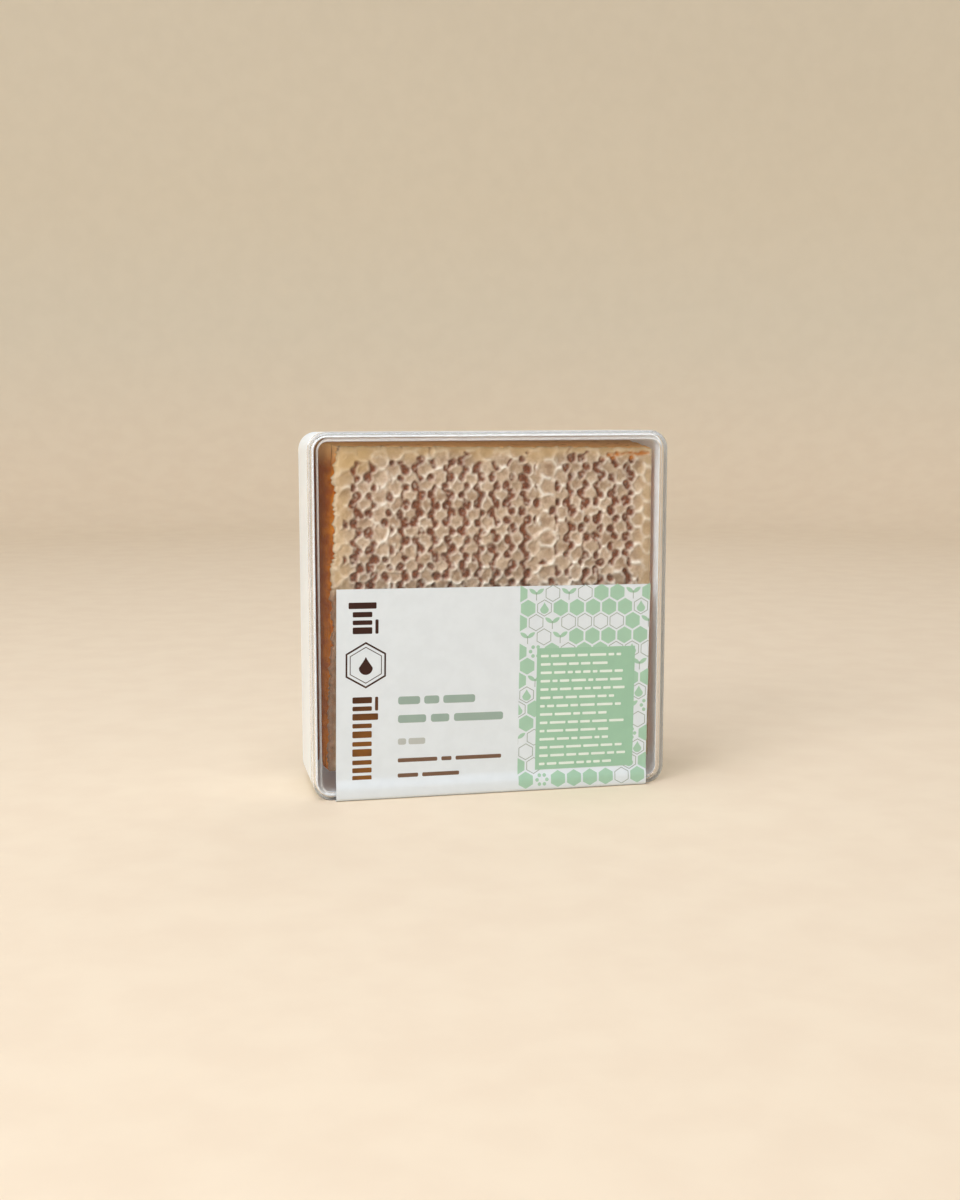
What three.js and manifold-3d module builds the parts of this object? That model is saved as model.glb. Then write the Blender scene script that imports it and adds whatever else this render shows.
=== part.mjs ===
// Comb honey in its shut retail pack. A cut piece of capped honeycomb lies in a white tray under a
// clear lid, and a paper label wraps the lower half of the pack from front to back.
// Units are millimetres: X runs to the right, Y away from the viewer and Z up. The pack stands on
// its lower side with the clear lid facing -Y, and the origin is the middle of its underside.

import * as THREE from "three";
import { mergeVertices } from "three/addons/utils/BufferGeometryUtils.js";
import Module from "manifold-3d";

const wasm = await Module();
wasm.setup();

// Pack: a square box, deeper than its lid, whose walls narrow a little towards the back.
const PACK_SIDE = 105;
const PACK_DEPTH = 35;
const CORNER_RADIUS = 5.3;
const INNER_RADIUS = 1.2;
const CORNER_STEPS = 6;
const DRAFT = THREE.MathUtils.degToRad(1.4);
const FIT_GAP = 0.15;

// Tray and lid walls.
const WALL = 1.35;
const TRAY_FLOOR = 1.3;
const INNER_FILLET = 0.7;
const LIP_WALL = 1;
const SKIRT_WALL = 0.9;
const SKIRT_DEPTH = 7;
const PANEL_RECESS = 0.8;
const PANEL_THICKNESS = 1;
const RIM_WIDTH = 2.4;

// Label: a strip of paper, a little askew, lying on the lid panel and round the underside.
const PAPER = 0.25;
const PAPER_GAP = 0.05;
const LABEL_LEFT = -46.05;
const LABEL_RIGHT = 46.8;
const LABEL_FRONT_HEIGHT = 60.4;
const LABEL_BACK_HEIGHT = 55;
const LABEL_LEAN = 0.0138;
const LABEL_TOP_SLOPE = 0.0096;
const FRONT_FOLD_RADIUS = 0.85;
const BACK_FOLD_RADIUS = 1.6;
const FOLD_STEPS = 4;

// Comb: its capped face lies this far behind the front of the rim, and its back rests on the floor.
const COMB_FRONT = 6.2;
const CAPPING_THICKNESS = 1.6;
const MIDRIB_DEPTH = 20;
const LAYER_GAP = 0.2;
const COMB_BACK_GAP = 0.3;
const COMB_LEFT_TOP = -44.3;
const COMB_LEFT_BOTTOM = -47.3;
const COMB_RIGHT = 49.6;
const COMB_BOTTOM = 7.2;
const COMB_TOP_LEFT = 100.9;
const COMB_TOP_RIGHT = 99.6;

// Cells: regular hexagons in upright columns, each capping sunk inside a raised ring of wax.
const CELL_PITCH = 5.1;
const CELL_COLUMN = CELL_PITCH * Math.cos(Math.PI / 6);
const RING_HEIGHT = 0.35;
const CAP_SINK = 0.3;
const PIT_SINK = 0.65;
const CELL_JITTER = 0.28;
const EDGE_ROUGHNESS = 0.5;
const FLUTE_DEPTH = 0.45;

const UNDERSIDE = PAPER + PAPER_GAP;
const MIDDLE = UNDERSIDE + PACK_SIDE / 2;
const FRONT = -PACK_DEPTH / 2;

// Repeatable random numbers between 0 and 1.
function makeRandom(seed) {
  let state = seed;
  return () => {
    state = (state + 0x6d2b79f5) | 0;
    let mixed = Math.imul(state ^ (state >>> 15), 1 | state);
    mixed = (mixed + Math.imul(mixed ^ (mixed >>> 7), 61 | mixed)) ^ mixed;
    return ((mixed ^ (mixed >>> 14)) >>> 0) / 4294967296;
  };
}

// The outline of the pack at one depth, as points in X and Z. The underside has no draft, so that
// the pack stands flat on it.
function packOutline(depth, inset) {
  const drawnIn = inset + Math.tan(DRAFT) * depth;
  const right = PACK_SIDE / 2 - drawnIn;
  const top = UNDERSIDE + PACK_SIDE - drawnIn;
  const bottom = UNDERSIDE + inset;
  const radius = Math.max(CORNER_RADIUS - inset, INNER_RADIUS);
  const corners = [
    [right - radius, top - radius],
    [radius - right, top - radius],
    [radius - right, bottom + radius],
    [right - radius, bottom + radius],
  ];
  return corners.flatMap(([x, z], quarter) =>
    Array.from({ length: CORNER_STEPS + 1 }, (_, step) => {
      const angle = ((quarter + step / CORNER_STEPS) * Math.PI) / 2;
      return [x + radius * Math.cos(angle), z + radius * Math.sin(angle)];
    }),
  );
}

// A closed body whose section runs from the middle of its rear face round the wall to the middle of
// its front face. Each section point is [depth, inset], swept round the outline of the pack.
function sweptShell(section) {
  const rings = section.map(([depth, inset]) =>
    packOutline(depth, inset).map(([x, z]) => [x, FRONT + depth, z]),
  );
  const around = rings[0].length;
  const positions = rings.flat(2);
  const faces = [];
  for (let ring = 0; ring + 1 < rings.length; ring += 1) {
    for (let step = 0; step < around; step += 1) {
      const next = (step + 1) % around;
      const a = ring * around + step;
      const b = ring * around + next;
      faces.push(a, b, b + around, a, b + around, a + around);
    }
  }
  const lastRing = (rings.length - 1) * around;
  const rearMiddle = rings.length * around;
  positions.push(0, FRONT + section[0][0], MIDDLE);
  positions.push(0, FRONT + section[section.length - 1][0], MIDDLE);
  for (let step = 0; step < around; step += 1) {
    const next = (step + 1) % around;
    faces.push(rearMiddle, next, step);
    faces.push(rearMiddle + 1, lastRing + step, lastRing + next);
  }
  return indexedGeometry(positions, faces);
}

function indexedGeometry(positions, faces) {
  const geometry = new THREE.BufferGeometry();
  geometry.setAttribute("position", new THREE.Float32BufferAttribute(positions, 3));
  geometry.setIndex(faces);
  return geometry;
}

function toSolid(geometry) {
  const bare = geometry.clone();
  bare.deleteAttribute("normal");
  bare.deleteAttribute("uv");
  const merged = mergeVertices(bare, 1e-4);
  return new wasm.Manifold(
    new wasm.Mesh({
      numProp: 3,
      vertProperties: new Float32Array(merged.attributes.position.array),
      triVerts: new Uint32Array(merged.index.array),
    }),
  );
}

function fromSolid(solid) {
  const mesh = solid.getMesh();
  return indexedGeometry(Array.from(mesh.vertProperties), Array.from(mesh.triVerts));
}

function named(name, geometry, material) {
  const faceted = geometry.index ? geometry.toNonIndexed() : geometry;
  faceted.computeVertexNormals();
  const mesh = new THREE.Mesh(faceted, material);
  mesh.name = name;
  return mesh;
}

// White moulded tray: floor at the back, drafted walls, and a thinner lip that the lid slips over.
function makeTray() {
  const edge = PACK_DEPTH;
  const lipOuter = SKIRT_WALL + FIT_GAP;
  const lipInner = lipOuter + LIP_WALL;
  const lipFront = PANEL_RECESS + PANEL_THICKNESS + 2 * FIT_GAP;
  const shoulder = SKIRT_DEPTH + FIT_GAP;
  const floorFace = PACK_DEPTH - TRAY_FLOOR;
  return sweptShell([
    [edge, 2.1],
    [edge - 0.3, 0.95],
    [edge - 1, 0.25],
    [edge - 2.1, 0],
    [shoulder, 0],
    [shoulder, lipOuter],
    [lipFront, lipOuter],
    [lipFront, lipInner],
    [shoulder + 0.4, lipInner],
    [shoulder + 1.4, WALL],
    [floorFace - INNER_FILLET, WALL],
    [floorFace, WALL + INNER_FILLET],
  ]);
}

// Clear moulded lid: a flat panel inside a raised, rounded rim, and a skirt flush with the tray.
function makeLid() {
  const panelBack = PANEL_RECESS + PANEL_THICKNESS;
  return sweptShell([
    [panelBack, SKIRT_WALL + 0.3],
    [panelBack + 0.25, SKIRT_WALL],
    [SKIRT_DEPTH, SKIRT_WALL],
    [SKIRT_DEPTH, 0],
    [1.2, 0],
    [0.6, 0.08],
    [0.2, 0.38],
    [0, 0.95],
    [0, RIM_WIDTH - 0.5],
    [0.12, RIM_WIDTH - 0.18],
    [0.55, RIM_WIDTH],
    [PANEL_RECESS, RIM_WIDTH + 0.35],
  ]);
}

// The side view of the paper strip, as [y, z] points along the face that touches the pack. It runs
// down the lid panel, over the rim, under the pack and up its back.
function labelRun(distance) {
  const panelFace = FRONT + PANEL_RECESS - distance;
  const rimFace = FRONT - distance;
  const under = UNDERSIDE - distance;
  const backFace = -FRONT + distance;
  const frontRadius = FRONT_FOLD_RADIUS + distance;
  const backRadius = BACK_FOLD_RADIUS + distance;
  const points = [
    [panelFace, UNDERSIDE + LABEL_FRONT_HEIGHT],
    [panelFace, UNDERSIDE + RIM_WIDTH + 3],
    [rimFace, UNDERSIDE + RIM_WIDTH],
  ];
  for (let step = 0; step <= FOLD_STEPS; step += 1) {
    const angle = (step / FOLD_STEPS) * (Math.PI / 2);
    points.push([
      rimFace + frontRadius * (1 - Math.cos(angle)),
      under + frontRadius * (1 - Math.sin(angle)),
    ]);
  }
  for (let step = 0; step <= FOLD_STEPS; step += 1) {
    const angle = (step / FOLD_STEPS) * (Math.PI / 2);
    points.push([
      backFace - backRadius * (1 - Math.sin(angle)),
      under + backRadius * (1 - Math.cos(angle)),
    ]);
  }
  points.push([backFace, UNDERSIDE + LABEL_BACK_HEIGHT]);
  return points;
}

// Paper label: the strip extruded across the pack, then set slightly askew.
function makeLabel() {
  const inner = labelRun(PAPER_GAP);
  const outer = labelRun(PAPER_GAP + PAPER).reverse();
  const section = new THREE.Shape([...inner, ...outer].map(([y, z]) => new THREE.Vector2(y, z)));
  const geometry = new THREE.ExtrudeGeometry(section, {
    depth: LABEL_RIGHT - LABEL_LEFT,
    bevelEnabled: false,
    curveSegments: 1,
  });
  const acrossX = new THREE.Matrix4().makeBasis(
    new THREE.Vector3(0, 1, 0),
    new THREE.Vector3(0, 0, 1),
    new THREE.Vector3(1, 0, 0),
  );
  geometry.applyMatrix4(acrossX);
  geometry.translate(LABEL_LEFT, 0, 0);
  const position = geometry.attributes.position;
  for (let i = 0; i < position.count; i += 1) {
    const x = position.getX(i);
    const z = position.getZ(i);
    const topEdge = z > LABEL_BACK_HEIGHT / 2 ? 1 : 0;
    position.setX(i, x + LABEL_LEAN * z);
    position.setZ(i, z - topEdge * LABEL_TOP_SLOPE * x);
  }
  return fromSolid(toSolid(geometry));
}

// The cut outline of the comb in X and Z, walked anticlockwise from the lower left. Along each side
// the edge steps in and out at every half cell.
function combOutline(roughness, seed) {
  const random = makeRandom(seed);
  const corners = [
    [COMB_LEFT_BOTTOM, COMB_BOTTOM],
    [COMB_RIGHT, COMB_BOTTOM],
    [COMB_RIGHT, COMB_TOP_RIGHT],
    [COMB_LEFT_TOP, COMB_TOP_LEFT],
  ].map(([x, z]) => new THREE.Vector2(x, z + UNDERSIDE));
  return corners.flatMap((start, side) => {
    const end = corners[(side + 1) % corners.length];
    const along = end.clone().sub(start);
    const inward = new THREE.Vector2(-along.y, along.x).normalize();
    const steps = Math.round(along.length() / (CELL_PITCH / 2));
    return Array.from({ length: steps }, (_, step) => {
      const flute = step % 2 === 0 ? 0 : 1;
      const depth = roughness * (0.65 * flute + 0.35 * random());
      return start.clone().lerp(end, step / steps).addScaledVector(inward, depth);
    });
  });
}

// A slab of the comb's outline between two depths behind the front of the pack.
function combSlab(fromDepth, toDepth, roughness, seed) {
  const outline = new THREE.Shape(combOutline(roughness, seed));
  const geometry = new THREE.ExtrudeGeometry(outline, {
    depth: toDepth - fromDepth,
    bevelEnabled: false,
  });
  geometry.rotateX(Math.PI / 2);
  return geometry.translate(0, FRONT + toDepth, 0);
}

// A sheet of capped cells, larger than the comb. Each cell is a fan of twelve triangles: its middle
// is sunk, the middles of its sides are raised rings of wax, and its corners are pits.
function cellSheet() {
  const random = makeRandom(23);
  const positions = [];
  const faces = [];
  const shared = new Map();
  const jitter = () => (random() - 0.5) * CELL_JITTER;
  const addPoint = (x, z, sink) => {
    const stepX = Math.round((x - COMB_LEFT_BOTTOM) / (CELL_COLUMN / 6));
    const stepZ = Math.round((z - UNDERSIDE - COMB_BOTTOM) / (CELL_PITCH / 4));
    const key = `${stepX},${stepZ}`;
    if (!shared.has(key)) {
      shared.set(key, positions.length / 3);
      positions.push(x + jitter(), FRONT + COMB_FRONT + sink + jitter(), z + jitter());
    }
    return shared.get(key);
  };
  const columns = Math.ceil((COMB_RIGHT - COMB_LEFT_BOTTOM) / CELL_COLUMN) + 2;
  const rows = Math.ceil((COMB_TOP_LEFT - COMB_BOTTOM) / CELL_PITCH) + 3;
  const cornerReach = CELL_PITCH / Math.sqrt(3);
  for (let column = 0; column < columns; column += 1) {
    for (let row = 0; row < rows; row += 1) {
      const x = COMB_LEFT_BOTTOM + (column - 0.5) * CELL_COLUMN;
      const z = UNDERSIDE + COMB_BOTTOM + (row - 1 + (column % 2) / 2) * CELL_PITCH;
      const middle = addPoint(x, z, CAP_SINK);
      const rim = Array.from({ length: 12 }, (_, step) => {
        const angle = (step * Math.PI) / 6;
        const atCorner = step % 2 === 0;
        const reach = atCorner ? cornerReach : CELL_PITCH / 2;
        const sink = atCorner ? PIT_SINK : -RING_HEIGHT;
        return addPoint(x + reach * Math.cos(angle), z + reach * Math.sin(angle), sink);
      });
      rim.forEach((point, step) => faces.push(middle, point, rim[(step + 1) % 12]));
    }
  }
  return thickened(positions, faces, FRONT + COMB_FRONT + 2 * CAPPING_THICKNESS);
}

// A closed body from a sheet of triangles facing -Y, given a flat back at the depth backY.
function thickened(positions, faces, backY) {
  const count = positions.length / 3;
  const open = new Map();
  for (let i = 0; i < faces.length; i += 3) {
    for (let side = 0; side < 3; side += 1) {
      const from = faces[i + side];
      const to = faces[i + ((side + 1) % 3)];
      if (!open.delete(`${to},${from}`)) open.set(`${from},${to}`, [from, to]);
    }
  }
  const backs = positions.map((value, i) => (i % 3 === 1 ? backY : value));
  const turned = [];
  for (let i = 0; i < faces.length; i += 3) {
    turned.push(faces[i] + count, faces[i + 2] + count, faces[i + 1] + count);
  }
  const walls = [];
  for (const [from, to] of open.values()) {
    walls.push(to, from, from + count, to, from + count, to + count);
  }
  return indexedGeometry([...positions, ...backs], [...faces, ...turned, ...walls]);
}

// Pale wax capping over the front cells, with its rings, sunk caps and pits. Scraps that the cut
// leaves loose at its edge are dropped.
function makeCapping() {
  const cells = toSolid(cellSheet());
  const slab = combSlab(COMB_FRONT - 2, COMB_FRONT + CAPPING_THICKNESS, EDGE_ROUGHNESS, 5);
  const pieces = cells.intersect(toSolid(slab)).decompose();
  pieces.sort((a, b) => b.volume() - a.volume());
  return fromSolid(pieces[0]);
}

// Honey in its cells, one layer on each side of the midrib, fluted where the cut opens the cells.
function makeHoneyLayers() {
  const frontFrom = COMB_FRONT + CAPPING_THICKNESS + LAYER_GAP;
  const backFrom = MIDRIB_DEPTH + LAYER_GAP;
  const backTo = PACK_DEPTH - TRAY_FLOOR - COMB_BACK_GAP;
  return [
    combSlab(frontFrom, MIDRIB_DEPTH, FLUTE_DEPTH, 11),
    combSlab(backFrom, backTo, FLUTE_DEPTH, 17),
  ];
}

const materials = {
  tray: new THREE.MeshStandardMaterial({ color: 0xe9e6df, roughness: 0.4, metalness: 0 }),
  lid: new THREE.MeshStandardMaterial({
    color: 0xf4f4f0,
    roughness: 0.08,
    metalness: 0,
    transparent: true,
    opacity: 0.25,
  }),
  label: new THREE.MeshStandardMaterial({ color: 0xe8ebea, roughness: 0.6, metalness: 0 }),
  capping: new THREE.MeshStandardMaterial({ color: 0xc0a387, roughness: 0.45, metalness: 0 }),
  paleHoney: new THREE.MeshStandardMaterial({ color: 0xa0662c, roughness: 0.25, metalness: 0 }),
  darkHoney: new THREE.MeshStandardMaterial({ color: 0x6d2f0b, roughness: 0.25, metalness: 0 }),
};

const [frontHoney, backHoney] = makeHoneyLayers();

const pack = new THREE.Group();
pack.add(named("tray", makeTray(), materials.tray));
pack.add(named("lid", makeLid(), materials.lid));
pack.add(named("label", makeLabel(), materials.label));
pack.add(named("wax_capping", makeCapping(), materials.capping));
pack.add(named("honey_cells_front", frontHoney, materials.paleHoney));
pack.add(named("honey_cells_back", backHoney, materials.darkHoney));

export default pack;
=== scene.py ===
# %% [markdown]
# Comb honey in its shut retail pack
#
# A cut piece of capped honeycomb lies in a white tray under a clear lid, and a paper label wraps
# the lower half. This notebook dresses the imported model: it keeps every size and place, and
# rebuilds each visible piece with the finish of the real one. The frame is loaded first, because
# every piece takes its place from it.

# %% Load the frame
import math

import bmesh
import bpy
import numpy as np
from mathutils import Matrix, Vector


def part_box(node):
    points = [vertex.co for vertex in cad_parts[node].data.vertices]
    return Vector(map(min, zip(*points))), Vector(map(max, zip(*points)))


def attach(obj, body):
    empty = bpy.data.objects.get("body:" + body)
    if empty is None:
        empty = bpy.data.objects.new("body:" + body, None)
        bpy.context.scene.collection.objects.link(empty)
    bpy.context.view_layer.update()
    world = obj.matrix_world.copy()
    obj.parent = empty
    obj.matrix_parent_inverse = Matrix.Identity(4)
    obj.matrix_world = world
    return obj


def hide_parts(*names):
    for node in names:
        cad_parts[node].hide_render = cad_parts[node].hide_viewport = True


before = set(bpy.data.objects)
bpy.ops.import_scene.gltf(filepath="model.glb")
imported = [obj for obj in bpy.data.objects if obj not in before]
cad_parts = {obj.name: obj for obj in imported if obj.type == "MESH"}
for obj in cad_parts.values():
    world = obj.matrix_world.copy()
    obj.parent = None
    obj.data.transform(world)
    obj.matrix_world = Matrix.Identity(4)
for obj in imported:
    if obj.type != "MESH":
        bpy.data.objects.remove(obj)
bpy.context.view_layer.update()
scene = bpy.context.scene

# %% [markdown]
# Two mouldings snap together round the comb, so the pieces meet along the same few planes. They
# are read from the model's boxes, so the pieces still meet if the model changes. Tray and lid share
# their corner radius and their draft, the slight narrowing that lets a moulding leave its mould.

# %% Places and sizes that the pieces share
MM = 0.001
lid_low, lid_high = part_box("lid")
tray_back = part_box("tray")[1].y
label_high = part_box("label")[1].z
cap_low, cap_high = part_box("wax_capping")
front_low, front_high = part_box("honey_cells_front")
back_low, back_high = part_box("honey_cells_back")

FRONT = lid_low.y
BACK = tray_back
BASE = lid_low.z
TOP = lid_high.z
HALF = lid_high.x
HEIGHT = TOP - BASE
MIDDLE_Z = (BASE + TOP) / 2
CORNER_RADIUS = 5.3 * MM
DRAFT = math.radians(1.4)
print("pack front, back, base, top:", FRONT, BACK, BASE, TOP)

# %% [markdown]
# The camera stands a little to the left of the pack and above its middle, about 45 cm away, and
# looks slightly down. It is placed from the middle of the lid's face, so it stays right if the pack
# grows. The lens is a little longer than normal, which keeps the square face nearly square.

# %% Camera
CAMERA_FROM_LID = Vector((-106.3, -446.1, 65.1)) * MM
CAMERA_TURN = 12.93
CAMERA_DIP = 7.57
SENSOR = 36.0
LENS = 48.25

camera_data = bpy.data.cameras.new("camera")
camera_data.sensor_width = SENSOR
camera_data.lens = LENS
camera_data.clip_start = 0.01
camera = bpy.data.objects.new("camera", camera_data)
camera.location = Vector((0, FRONT, MIDDLE_Z)) + CAMERA_FROM_LID
camera.rotation_euler = (math.radians(90 - CAMERA_DIP), 0, math.radians(-CAMERA_TURN))
scene.collection.objects.link(camera)
scene.camera = camera
print("camera at", tuple(round(c, 4) for c in camera.location))

# %% [markdown]
# Every material here is a node tree on a Principled shader, which with some noise and a few ramps
# describes plastic, paper, wax and honey alike. Small helpers keep the trees short: they start a
# material, add a node, mix two colours, and give a ramp, a coordinate or a noise.

# %% Material helpers
def srgb(red, green, blue):
    """A colour given as 0 to 255 screen values, as linear light with full alpha."""
    def linear(value):
        share = value / 255
        return share / 12.92 if share <= 0.04045 else ((share + 0.055) / 1.055) ** 2.4
    return (linear(red), linear(green), linear(blue), 1.0)


def start_material(name, **settings):
    material = bpy.data.materials.new(name)
    material.use_nodes = True
    shader = material.node_tree.nodes["Principled BSDF"]
    for socket, value in settings.items():
        shader.inputs[socket.replace("_", " ")].default_value = value
    return material, material.node_tree, shader


def add_node(tree, kind, inputs=(), **settings):
    """A new node. inputs maps a socket to a value or to another node's output."""
    node = tree.nodes.new(kind)
    for name, value in settings.items():
        setattr(node, name, value)
    for socket, value in dict(inputs).items():
        if isinstance(value, bpy.types.NodeSocket):
            tree.links.new(value, node.inputs[socket])
        else:
            node.inputs[socket].default_value = value
    return node


def mix_colour(tree, factor, first, second):
    """first where factor is 0 and second where it is 1. Sockets 6 and 7 take the colours."""
    sockets = {0: factor, 6: first, 7: second}
    return add_node(tree, "ShaderNodeMix", sockets, data_type="RGBA").outputs[2]


def paint(tree, shader, factor, first, second):
    tree.links.new(mix_colour(tree, factor, first, second), shader.inputs["Base Color"])


def ramp(tree, value, low, high, low_out=0.0, high_out=1.0):
    """value mapped smoothly from low..high to low_out..high_out."""
    node = add_node(
        tree, "ShaderNodeMapRange",
        {0: value, 1: low, 2: high, 3: low_out, 4: high_out},
        interpolation_type="SMOOTHSTEP",
    )
    return node.outputs[0]


def object_place(tree, axis):
    """One Object coordinate of the point that is shaded, in metres."""
    place = add_node(tree, "ShaderNodeTexCoord").outputs["Object"]
    return add_node(tree, "ShaderNodeSeparateXYZ", {0: place}).outputs[axis]


def object_noise(tree, scale, detail=2.0, roughness=0.5, stretch=(1, 1, 1)):
    """Noise on Object coordinates. scale counts lumps to the metre."""
    place = add_node(tree, "ShaderNodeTexCoord").outputs["Object"]
    mapping = add_node(tree, "ShaderNodeMapping", {"Vector": place, "Scale": stretch})
    noise = add_node(
        tree, "ShaderNodeTexNoise",
        {"Vector": mapping.outputs[0], "Scale": scale, "Detail": detail, "Roughness": roughness},
    )
    return noise.outputs[0]


def add_bump(tree, shader, height, strength, distance):
    bump = add_node(
        tree, "ShaderNodeBump", {"Height": height, "Strength": strength, "Distance": distance}
    )
    tree.links.new(bump.outputs[0], shader.inputs["Normal"])


def count_nodes(*materials):
    for material in materials:
        print(material.name, "has", len(material.node_tree.nodes), "nodes")


print("mid grey on a screen is", round(srgb(128, 128, 128)[0], 3), "in linear light")

# %% [markdown]
# The tray is white moulded plastic with a soft gloss. Its wall is thin enough to let some light
# through, which lights the comb's sides, so the shader scatters light inside the wall. A faint
# glow adds the light that its walls pass to one another, more often than a renderer follows. Real
# mouldings are never one even white: a slow noise shifts the tone, and a fine one breaks up the
# gloss.

# %% White plastic
white_plastic, tree, shader = start_material(
    "white moulded plastic", Roughness=0.32, IOR=1.5, Subsurface_Weight=0.5,
    Subsurface_Radius=(1.0, 1.0, 1.0), Subsurface_Scale=0.003,
    Emission_Color=srgb(236, 244, 250), Emission_Strength=0.05,
)
tone = ramp(tree, object_noise(tree, 45, 3), 0.35, 0.65)
paint(tree, shader, tone, srgb(234, 246, 253), srgb(239, 250, 255))
tree.links.new(
    ramp(tree, object_noise(tree, 400, 2), 0.3, 0.7, 0.28, 0.38), shader.inputs["Roughness"]
)
add_bump(tree, shader, object_noise(tree, 900, 2), 0.05, 0.0002)
count_nodes(white_plastic)

# %% [markdown]
# The lid is clear, hard plastic, so its shader bends light. A clear cover that also blocks lamps
# would leave the comb in the dark, so rays that look for a lamp pass straight through it. Light
# caught between the lid's two faces turns back again and again, and a renderer gives up on it and
# leaves a black edge, so after one turn it is let out too.

# %% Clear plastic
MOST_TURNS = 1

clear_plastic, tree, shader = start_material(
    "clear moulded plastic", Base_Color=(0.99, 0.985, 0.98, 1), Roughness=0.02, IOR=1.42,
    Specular_IOR_Level=0.06, Transmission_Weight=1.0,
)
thickness_tint = add_node(
    tree, "ShaderNodeVolumeAbsorption", {"Color": (0.5, 0.42, 0.38, 1), "Density": 55.0}
)
tree.links.new(thickness_tint.outputs[0], tree.nodes["Material Output"].inputs["Volume"])
straight = add_node(tree, "ShaderNodeBsdfTransparent", {"Color": (0.93, 0.925, 0.91, 1)})
ray = add_node(tree, "ShaderNodeLightPath")
trapped = add_node(
    tree, "ShaderNodeMath", {0: ray.outputs["Glossy Depth"], 1: MOST_TURNS + 0.5},
    operation="GREATER_THAN",
)
let_through = add_node(
    tree, "ShaderNodeMath", {0: ray.outputs["Is Shadow Ray"], 1: trapped.outputs[0]},
    operation="MAXIMUM",
)
either = add_node(tree, "ShaderNodeMixShader", {0: let_through.outputs[0]})
tree.links.new(shader.outputs[0], either.inputs[1])
tree.links.new(straight.outputs[0], either.inputs[2])
tree.links.new(either.outputs[0], tree.nodes["Material Output"].inputs["Surface"])
count_nodes(clear_plastic)

# %% [markdown]
# Label paper is a cool, satin white with faint fibres. The print on it is thin fields of flat
# colour: sage green, grey green, warm brown and a brown foil that turns to copper lower down.

# %% Paper and print
def paper_like(name, colour):
    material, tree, shader = start_material(name, Roughness=0.5, IOR=1.45)
    mottle = ramp(tree, object_noise(tree, 260, 3), 0.3, 0.7)
    darker = tuple(c * 0.965 for c in colour[:3]) + (1.0,)
    paint(tree, shader, mottle, darker, colour)
    add_bump(tree, shader, object_noise(tree, 1800, 3), 0.12, 0.0001)
    return material


label_paper = paper_like("label paper", srgb(221, 231, 239))
green_ink = paper_like("sage green ink", srgb(163, 202, 180))
panel_ink = paper_like("deeper green ink", srgb(155, 197, 172))
line_ink = paper_like("grey line ink", srgb(150, 164, 158))
title_ink = paper_like("grey green ink", srgb(150, 172, 164))
weight_ink = paper_like("pale grey ink", srgb(182, 188, 186))
brown_ink = paper_like("brown ink", srgb(112, 84, 66))
pale_ink = paper_like("pale ink", srgb(228, 240, 234))

ALL_BROWN, ALL_COPPER = 38 * MM, 12 * MM
foil, tree, shader = start_material("brown foil", Roughness=0.32, Metallic=0.35)
copper = ramp(tree, object_place(tree, "Z"), ALL_BROWN, ALL_COPPER)
patches = ramp(tree, object_noise(tree, 120, 2), 0.4, 0.6, 0.6, 1.0)
share = add_node(tree, "ShaderNodeMath", {0: copper, 1: patches}, operation="MULTIPLY")
paint(tree, shader, share.outputs[0], srgb(52, 22, 16), srgb(132, 84, 30))
count_nodes(label_paper, foil)

# %% [markdown]
# The capping's mesh carries four masks in one colour attribute: raised rings, dark wet pits
# together with the painted shade of the window's lower left corner, a tone for each cell, and the
# drier yellow wax near the cut edges. The material turns them into colour, so each colour sits
# exactly on its relief. The fresh tear at the top right is golden.

# %% Wax capping
CAP_MASKS = "cap_masks"
TEAR_X = (31 * MM, 37 * MM)
TEAR_Z = (96.2 * MM, 97.2 * MM)

capping_wax, tree, shader = start_material("wax capping", Roughness=0.45, IOR=1.44)
masks = add_node(tree, "ShaderNodeAttribute", attribute_name=CAP_MASKS)
parts = add_node(tree, "ShaderNodeSeparateColor", {0: masks.outputs["Color"]})
ring, pits_and_shade, cell_tone = parts.outputs
edge_wax = masks.outputs["Alpha"]
grain = ramp(tree, object_noise(tree, 1300, 4, 0.65), 0.3, 0.7)
blotch = ramp(tree, object_noise(tree, 420, 3), 0.35, 0.65)
sunk = mix_colour(tree, cell_tone, srgb(166, 136, 108), srgb(232, 209, 182))
sunk = mix_colour(tree, ramp(tree, grain, 0, 1, 0, 0.35), sunk, srgb(140, 108, 80))
sunk = mix_colour(tree, ramp(tree, blotch, 0, 1, 0, 0.35), sunk, srgb(206, 186, 156))
with_rings = mix_colour(tree, ring, sunk, srgb(255, 250, 236))
yellowed = mix_colour(tree, edge_wax, with_rings, srgb(216, 182, 124))
pits_and_shade_colour = mix_colour(tree, grain, srgb(82, 26, 6), srgb(136, 64, 22))
right_of = ramp(tree, object_place(tree, "X"), *TEAR_X)
above = ramp(tree, object_place(tree, "Z"), *TEAR_Z)
in_tear = add_node(tree, "ShaderNodeMath", {0: right_of, 1: above}, operation="MULTIPLY")
pits_and_shade_colour = mix_colour(tree, in_tear.outputs[0], pits_and_shade_colour, srgb(196, 118, 34))
# The pits' dark colour also paints the shade of the window's lower left corner.
paint(tree, shader, pits_and_shade, yellowed, pits_and_shade_colour)
tree.links.new(ramp(tree, pits_and_shade, 0.2, 0.9, 0.5, 0.22), shader.inputs["Roughness"])
add_bump(tree, shader, grain, 0.25, 0.00025)
count_nodes(capping_wax)

# %% [markdown]
# Honey in cut cells is deep amber. The layer behind the midrib is darker, partly from the honey's
# own darker colour and partly as painted shade, since less light reaches it. Painted light makes
# the honey palest along the top of the comb, where light comes in from above, and painted shade
# darkens it from the capping inwards. Honey carries light in from the cells round it, which is more
# than a renderer follows, so a faint amber glow stands for it. Slow noise makes lighter and darker
# cells.

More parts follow.
